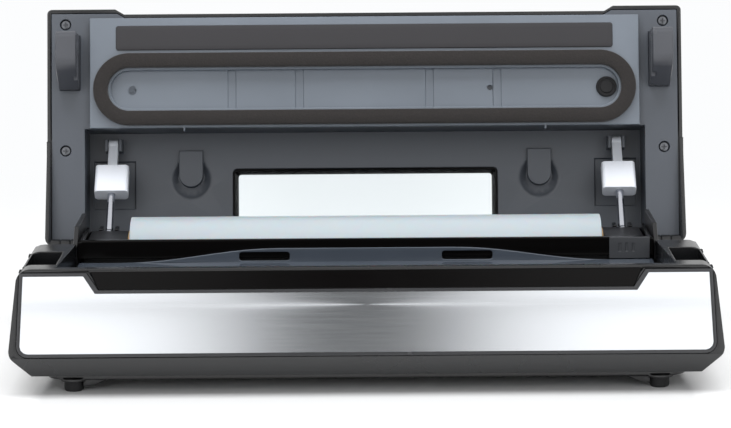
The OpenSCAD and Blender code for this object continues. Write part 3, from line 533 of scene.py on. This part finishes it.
def soften(node: str, slot: Slot, width_mm: float = 0.35, segments: int = 2,
           angle_deg: float = 32.0) -> None:
    """Dress a CAD node and round its edges as a mould would.

    Args:
        node: The CAD node.
        slot: Its material slot.
        width_mm: Width of the rounded edge.
        segments: Steps in the rounding.
        angle_deg: Edges sharper than this are rounded.
    """
    piece = frame["nodes"][node]
    WARDROBE.dress(piece, slot)
    mesh = piece.data
    if "custom_normal" in mesh.attributes:
        mesh.attributes.remove(mesh.attributes["custom_normal"])
    mesh.polygons.foreach_set("use_smooth", [True] * len(mesh.polygons))
    weld = piece.modifiers.new("join", "WELD")
    weld.merge_threshold = 2e-6
    edge = piece.modifiers.new("round", "BEVEL")
    edge.width = width_mm * MM
    edge.segments = segments
    edge.limit_method = "ANGLE"
    edge.angle_limit = math.radians(angle_deg)
    edge.use_clamp_overlap = False
    edge.loop_slide = False
    even = piece.modifiers.new("even", "WEIGHTED_NORMAL")
    even.weight = 100
    even.keep_sharp = True
    LOG.info("node %s dressed as %s", node, slot.value)


# ---- sub-assemblies ----
@dataclass
class Base:
    """The base: housing, front, feet, and what can be seen in it."""

    top_z: float = 73.0
    foot_profile: Sequence[tuple[float, float]] = (
        (2.2, 1.2), (3.4, 0.0), (4.9, 0.0), (5.5, 0.6), (5.7, 2.0), (5.6, 5.4), (6.4, 7.2))
    feet_at: Sequence[tuple[float, float]] = ((-168, 14), (168, 14), (-168, 154), (168, 154))

    def build(self) -> None:
        """Dress the base's nodes and make its feet."""
        soften("base_housing", Slot.SHELL, 0.5)
        soften("bottom_cover", Slot.DARK, 0.6)
        soften("front_bezel", Slot.BEZEL, 0.3)
        soften("front_panel", Slot.PANEL, 0.05, 1)
        soften("gloss_strip", Slot.GLOSS, 0.3)
        soften("sealing_deck", Slot.DARK, 0.4)
        soften("roll_bay", Slot.DARK, 0.4)
        soften("power_inlet", Slot.DARK, 0.4)
        soften("heater_bar", Slot.CARRIER, 0.2)
        soften("heater_tape", Slot.CLOTH, 0.1)
        soften("heater_element", Slot.STEEL, 0.05, 1)
        soften("hinge_pins", Slot.STEEL, 0.2)
        soften("base_screws", Slot.SCREW, 0.2)
        for side in ("left", "right"):
            soften(f"release_{side}", Slot.KEY, 0.4)
        self.feet()

    def feet(self) -> None:
        """Four rubber feet with a soft edge and a hollow underneath."""
        bm = bmesh.new()
        for x, y in self.feet_at:
            at = (x, y)
            rings = [ring(bm, 2 * r, 2 * r, r - NEAR_ROUND, z - self.top_z, at) for r, z in self.foot_profile]
            loft(bm, rings)
        finish_piece("rubber_feet", bm, PLACES.base(), Slot.RUBBER, "base", ["feet"])


@dataclass
class Works:
    """What is sealed inside the base and the lid."""

    inside: Sequence[tuple[str, Slot]] = (
        ("main_board", Slot.BOARD), ("transformer", Slot.COIL), ("vacuum_pump", Slot.DARK),
        ("pump_motor", Slot.STEEL), ("vacuum_hose", Slot.HOSE), ("pressure_switch", Slot.DARK),
        ("lid_switches", Slot.SWITCH), ("lid_board", Slot.BOARD))

    def build(self) -> None:
        """Dress the hidden nodes."""
        for node, slot in self.inside:
            soften(node, slot, 0.15)


@dataclass
class Chamber:
    """The drip tray, the cutter and the bag roll."""

    roll_l: float = 283.0
    roll_r: float = 22.0
    core_r: float = 13.5
    roll_y: float = 115.0
    roll_z: float = -12.0
    layers: int = 9
    telescope: Sequence[float] = (0.0, 0.3, 0.1, 0.45, 0.2, 0.5, 0.15, 0.35, 0.05, 0.3)

    def build(self) -> None:
        """Dress the tray and cutter, and make the roll."""
        soften("drip_tray", Slot.TRAY, 0.4)
        soften("cutter_rail", Slot.GLOSS, 0.5)
        soften("rail_pins", Slot.STEEL, 0.15)
        soften("cutter_slider", Slot.KEY, 0.3)
        soften("cutter_blade", Slot.STEEL, 0.05, 1)
        soften("roll_core", Slot.CARD, 0.2)
        self.roll()

    def roll(self) -> None:
        """A full roll of film: ends in telescoped layers, and a loose edge along it."""
        bm = bmesh.new()
        ends = []
        for sign in (-1, 1):
            end = []
            for i in range(self.layers + 1):
                r = self.core_r + (self.roll_r - 0.5 - self.core_r) * i / self.layers
                end.append((sign * (self.roll_l / 2 - self.telescope[i]), r))
            ends.append(end)
        outline = ends[0] + [(-self.roll_l / 2 + 0.6, self.roll_r - 0.35),
                             (self.roll_l / 2 - 0.6, self.roll_r - 0.35)] + ends[1][::-1]
        verts = [bm.verts.new((x, 0, r)) for x, r in outline]
        edges = [bm.edges.new((a, b)) for a, b in zip(verts, verts[1:] + verts[:1])]
        bmesh.ops.spin(bm, geom=verts + edges, cent=(0, 0, 0), axis=(1, 0, 0), dvec=(0, 0, 0),
                       angle=2 * math.pi, steps=120, use_merge=True, use_duplicate=False)
        for v in bm.verts:
            turn = (math.atan2(v.co.y, v.co.z) - 0.9) % (2 * math.pi)
            r = math.hypot(v.co.y, v.co.z)
            if r > self.core_r + 0.1:
                grow = 1 + 0.35 * (turn / (2 * math.pi)) / r
                v.co.y *= grow
                v.co.z *= grow
        bmesh.ops.translate(bm, verts=bm.verts, vec=(0, self.roll_y, self.roll_z))
        finish_piece("film_roll", bm, PLACES.base(), Slot.FILM, "bag_roll", ["bag_roll"])


@dataclass
class Lid:
    """The lid: shell, liner, window, seals, hooks and screws."""

    pad_y: float = 20.4
    pad_l: float = 309.0
    pad_w: float = 15.3
    platform_z: float = -6.0
    gasket_y: float = 52.5
    gasket_l: float = 337.0
    gasket_w: float = 45.0
    band: float = 9.0
    gasket_h: float = 4.6
    window_y: float = 118.6
    window_l: float = 167.5
    window_w: float = 38.0
    recess_z: float = 33.0
    top_z: float = 39.1
    screws_at: Sequence[tuple[float, float]] = ((186.5, 11), (186.5, 90))
    port_x: float = 150.6
    floor_z: float = -2.0
    collar_h: float = 1.6
    mark_h: float = 0.25

    def build(self) -> None:
        """Dress the lid's nodes and make its soft and clear pieces."""
        soften("lid_shell", Slot.SHELL, 0.5)
        soften("lid_liner", Slot.LINER, 0.45)
        soften("seal_plate", Slot.PLATE, 0.4)
        for side in ("left", "right"):
            soften(f"hook_{side}", Slot.HOOK, 0.6, 3)
        soften("port_plug", Slot.RUBBER, 0.3)
        soften("strut_pins", Slot.STEEL, 0.15)
        soften("control_panel", Slot.GLOSS, 0.25)
        soften("indicator_lens", Slot.LAMP, 0.15)
        for key in ("vacuum", "seal", "pulse", "food", "stop"):
            soften(f"key_{key}", Slot.KEY, 0.5, 3)
        self.pad()
        self.gasket()
        self.window()
        self.screws()
        self.plate_details()

    def plate_details(self) -> None:
        """A collar round the port's plug, and a plain moulded ring at the other end."""
        low = self.floor_z
        for name, x, slot, (r0, r1), high in (
                ("port_collar", self.port_x, Slot.RUBBER, (4.1, 6.4), low - self.collar_h),
                ("mould_ring", -self.port_x + 6.0, Slot.PLATE, (2.5, 3.0), low - self.mark_h)):
            bm = bmesh.new()
            drop = (high - low) * 0.25
            profile = ((r0, low), (r0, high - drop), (r0 + 0.12, high), (r1 - 0.12, high), (r1, high - drop),
                       (r1, low))
            rings = [ring(bm, 2 * r, 2 * r, r - NEAR_ROUND, z, (x, self.gasket_y)) for r, z in profile]
            loft(bm, rings, closed=True)
            finish_piece(name, bm, PLACES.lid(), slot, "lid")

    def pad(self) -> None:
        """The sealing pad: a low rubber strip with a soft crown."""
        bm = bmesh.new()
        z = self.platform_z
        steps = ((0.0, 0.0), (0.0, -0.6), (0.3, -0.95), (0.9, -1.1), (3.0, -1.2))
        rings = [ring(bm, self.pad_l - 2 * g, self.pad_w - 2 * g, 1.6 - min(g, 1.0), z + h,
                      (0, self.pad_y)) for g, h in steps]
        loft(bm, rings)
        finish_piece("pad_strip", bm, PLACES.lid(), Slot.PAD, "lid", ["sealing_pad"])

    def gasket(self) -> None:
        """The foam gasket: a race-track band with soft shoulders."""
        bm = bmesh.new()
        z = self.platform_z
        section = ((0.0, 0.0), (0.0, -3.6), (0.35, -4.25), (1.1, -4.6))
        outer = [(g, h) for g, h in section]
        inner = [(self.band - g, h) for g, h in reversed(section)]
        rings = []
        for g, h in outer + inner:
            w = self.gasket_w - 2 * g
            rings.append(ring(bm, self.gasket_l - 2 * g, w, w / 2 - NEAR_ROUND, z + h,
                              (0, self.gasket_y), 20))
        loft(bm, rings, closed=True)
        piece = finish_piece("foam_gasket", bm, PLACES.lid(), Slot.FOAM, "lid", ["lid_gasket"])

    def window(self) -> None:
        """The window: a thin pane in a rim whose inner side flares."""
        bm = bmesh.new()
        at = (0, self.window_y)
        l, w = self.window_l, self.window_w
        rings = [ring(bm, l - 2 * g, w - 2 * g, max(r, 0.6), z, at) for g, r, z in (
            (0.0, 3.0, self.recess_z), (0.0, 3.0, self.top_z), (3.4, 2.0, self.top_z),
            (3.4, 2.0, self.top_z - 2.0), (1.0, 2.4, self.recess_z))]
        loft(bm, rings, closed=True)
        finish_piece("window_rim", bm, PLACES.lid(), Slot.GLOSS, "lid", ["window"])
        bm = bmesh.new()
        rings = [ring(bm, l - 6.9, w - 6.9, 1.9, z, at) for z in (self.top_z - 1.9, self.top_z - 0.1)]
        loft(bm, rings)
        finish_piece("window_pane", bm, PLACES.lid(), Slot.WINDOW, "lid", ["window"])

    def screws(self) -> None:
        """Pan-head screws with a cross recess."""
        bm = bmesh.new()
        for side in (-1, 1):
            for x, y in self.screws_at:
                head = self.screw_head(bm)
                bmesh.ops.translate(bm, verts=head, vec=(side * x, y, 0.4))
        finish_piece("lid_screw_heads", bm, PLACES.lid(), Slot.SCREW, "lid", ["lid_screws"])

    @staticmethod
    def screw_head(bm: bmesh.types.BMesh) -> list[bmesh.types.BMVert]:
        """One screw about the origin: a domed head whose middle sinks in a cross, and a shank."""
        before = set(bm.verts)
        steps = 48
        profile = ((3.2, 2.2), (3.2, 1.2), (2.95, 0.75), (2.4, 0.45), (1.9, 0.32))
        rings = [ring(bm, 2 * r, 2 * r, r - NEAR_ROUND, z, steps=steps // 4) for r, z in profile]
        arms = []
        for depth in (0.32, 1.25):
            arm = ring(bm, 3.4, 3.4, 1.7 - NEAR_ROUND, depth, steps=steps // 4)
            for v in arm:
                a = math.atan2(v.co.y, v.co.x)
                reach = min(1.7, 0.38 / max(1e-3, min(abs(math.sin(a)), abs(math.cos(a)))))
                v.co.x, v.co.y = reach * math.cos(a), reach * math.sin(a)
            arms.append(arm)
        loft(bm, rings + arms)
        shank = [ring(bm, 2.8, 2.8, 1.4 - NEAR_ROUND, z) for z in (1.6, 11.6)]
        loft(bm, shank)
        return [v for v in bm.verts if v not in before]


@dataclass
class Struts:
    """The two lid struts: nylon bodies with steel rods."""

    def build(self) -> None:
        """Dress both struts."""
        for side in ("left", "right"):
            soften(f"strut_body_{side}", Slot.NYLON, 0.5, 3)
            soften(f"strut_rod_{side}", Slot.STEEL, 0.1, 1)


# ---- studio ----
@dataclass
class Studio:
    """Pale floor, soft lights, and the camera."""

    camera_at: tuple[float, float, float] = (0.0, -1.7385, 0.3796)
    pitch_deg: float = 9.6
    roll_deg: float = -0.43
    lens_mm: float = 144.6
    fill: float = 0.5
    mirrored: float = 0.92
    fade_m: tuple[float, float] = (0.1, 0.75)
    gap_x: float = -0.02
    wall_at: tuple[float, float] = (-3.2, 3.4)
    wall_half: tuple[float, float] = (3.0, 3.4)
    wall_glow: float = 1.75
    floor_half: float = 12.0
    wall_levels: Sequence[tuple[float, float]] = (
        (0.0, 0.0), (0.1, 0.02), (0.17, 0.34), (0.26, 0.72), (0.38, 1.0), (0.6, 1.0))

    def build(self) -> None:
        """Set up the floor, the lights, the world and the camera."""
        self.floor()
        self.world()
        self.lights()
        self.camera()

    def floor(self) -> None:
        """A wide pale floor that turns to plain white light away from the object."""
        bm = bmesh.new()
        bmesh.ops.create_grid(bm, x_segments=1, y_segments=1, size=self.floor_half)
        mesh = bpy.data.meshes.new("floor")
        bm.to_mesh(mesh)
        bm.free()
        floor = bpy.data.objects.new("floor", mesh)
        bpy.context.scene.collection.objects.link(floor)
        mesh.materials.append(self.floor_material())

    def floor_material(self) -> bpy.types.Material:
        """White acrylic, polished enough to mirror the feet, lit from behind farther out."""
        material = Moulded("floor_acrylic_white", "#fdfeff", 0.12, 1.49, 30.0, 0.0, 0.0, uneven=0.02).build()
        tree = material.node_tree
        out = next(n for n in tree.nodes if n.type == "OUTPUT_MATERIAL")
        acrylic = out.inputs["Surface"].links[0].from_socket
        far = add(tree, "ShaderNodeVectorMath", {"operation": "LENGTH"},
                  {0: object_coords(tree, (0.55, 1, 1))})
        fade = add(tree, "ShaderNodeMapRange", {"interpolation_type": "SMOOTHSTEP",
                                                "From Min": self.fade_m[0], "From Max": self.fade_m[1]},
                   {"Value": far.outputs["Value"]})
        path = add(tree, "ShaderNodeLightPath")
        share = add(tree, "ShaderNodeMath", {"operation": "MULTIPLY"},
                    {0: fade.outputs["Result"], 1: path.outputs["Is Camera Ray"]})
        glow = add(tree, "ShaderNodeEmission", {"Color": linear("#fcfdfe"), "Strength": 1.0})
        mixed = add(tree, "ShaderNodeMixShader", links={0: share.outputs[0], 1: acrylic,
                                                        2: glow.outputs["Emission"]})
        tree.links.new(mixed.outputs["Shader"], out.inputs["Surface"])
        return material

    def world(self) -> None:
        """A white surround."""
        world = bpy.data.worlds.new("surround")
        bpy.context.scene.world = world
        world.use_nodes = True
        tree = world.node_tree
        tree.nodes.clear()
        path = add(tree, "ShaderNodeLightPath")
        seen = add(tree, "ShaderNodeMath", {"operation": "MAXIMUM"},
                   {0: path.outputs["Is Camera Ray"], 1: path.outputs["Is Transmission Ray"]})
        mirrored = add(tree, "ShaderNodeMapRange", {"To Min": self.fill, "To Max": self.mirrored},
                       {"Value": path.outputs["Is Glossy Ray"]})
        level = add(tree, "ShaderNodeMix", {"data_type": "FLOAT"},
                    {0: seen.outputs[0], 2: mirrored.outputs["Result"]})
        level.inputs[3].default_value = 1.0
        glow = add(tree, "ShaderNodeBackground", {"Color": (1.0, 1.0, 1.0, 1.0)},
                   {"Strength": level.outputs[0]})
        add(tree, "ShaderNodeOutputWorld", links={"Surface": glow.outputs["Background"]})
        bpy.context.scene.view_settings.view_transform = "Standard"

    def softbox(self, name: str, at: tuple[float, float, float], aim: tuple[float, float, float],
                size: tuple[float, float], watts: float) -> None:
        """One rectangular area light.

        Args:
            name: Its name.
            at: Its place in metres.
            aim: The point that it faces.
            size: Its width and height in metres.
            watts: Its power.
        """
        lamp = bpy.data.lights.new(name, "AREA")
        lamp.shape = "RECTANGLE"
        lamp.size, lamp.size_y = size
        lamp.energy = watts
        piece = bpy.data.objects.new(name, lamp)
        bpy.context.scene.collection.objects.link(piece)
        piece.location = at
        piece.rotation_euler = (Vector(aim) - Vector(at)).to_track_quat("-Z", "Y").to_euler()
        piece.visible_glossy = False

    def lights(self) -> None:
        """Soft light from above and in front, and the wall that the front mirrors."""
        self.softbox("top_box", (0, -0.35, 1.6), (0, 0, 0.1), (1.8, 1.0), 30)
        for name, x in (("left_box", -1.3), ("right_box", 1.3)):
            self.softbox(name, (x, -2.6, 1.4), (0, 0, 0.1), (1.2, 1.6), 12)
        self.mirror_wall()

    def mirror_wall(self) -> None:
        """A wall behind the camera: bright at both sides, with a dark gap in the middle."""
        bm = bmesh.new()
        bmesh.ops.create_grid(bm, x_segments=1, y_segments=1, size=1.0,
                              matrix=Matrix.Translation((self.gap_x, *self.wall_at))
                              @ Matrix.Rotation(math.radians(90), 4, "X")
                              @ Matrix.Diagonal((*self.wall_half, 1, 1)))
        mesh = bpy.data.meshes.new("mirror_wall")
        bm.to_mesh(mesh)
        bm.free()
        wall = bpy.data.objects.new("mirror_wall", mesh)
        bpy.context.scene.collection.objects.link(wall)
        material, tree, out = start_material("wall_gradient")
        spread = add(tree, "ShaderNodeSeparateXYZ", links={"Vector": object_coords(tree)})
        offset = add(tree, "ShaderNodeMath", {"operation": "SUBTRACT"}, {0: spread.outputs["X"]})
        offset.inputs[1].default_value = self.gap_x
        side = add(tree, "ShaderNodeMath", {"operation": "ABSOLUTE"}, {0: offset.outputs[0]})
        ramp = add(tree, "ShaderNodeValToRGB", links={"Fac": side.outputs[0]})
        stops = ramp.color_ramp.elements
        for place, level in self.wall_levels[1:-1]:
            stops.new(place)
        for stop, (place, level) in zip(stops, self.wall_levels):
            stop.position = place
            stop.color = (level, level, level, 1.0)
        glow = add(tree, "ShaderNodeEmission", {"Strength": self.wall_glow}, {"Color": ramp.outputs["Color"]})
        tree.links.new(glow.outputs["Emission"], out.inputs["Surface"])
        mesh.materials.append(material)
        for ray in ("visible_camera", "visible_diffuse", "visible_shadow", "visible_transmission"):
            setattr(wall, ray, False)

    def camera(self) -> None:
        """A long lens in front of the object, looking a little down."""
        data = bpy.data.cameras.new("camera")
        data.lens = self.lens_mm
        data.sensor_width = 36.0
        data.clip_end = 100.0
        camera = bpy.data.objects.new("camera", data)
        bpy.context.scene.collection.objects.link(camera)
        look = Matrix.Rotation(math.radians(90 - self.pitch_deg), 4, "X")
        roll = Matrix.Rotation(math.radians(self.roll_deg), 4, "Z")
        camera.matrix_world = Matrix.Translation(self.camera_at) @ look @ roll
        bpy.context.scene.camera = camera


def main() -> None:
    """Build the studio and every sub-assembly in order."""
    logging.basicConfig(level=logging.INFO, format="%(message)s")
    for part in (Studio(), Base(), Works(), Chamber(), Lid(), Struts()):
        LOG.info("building %s", type(part).__name__)
        part.build()


if __name__ == "__main__":
    main()
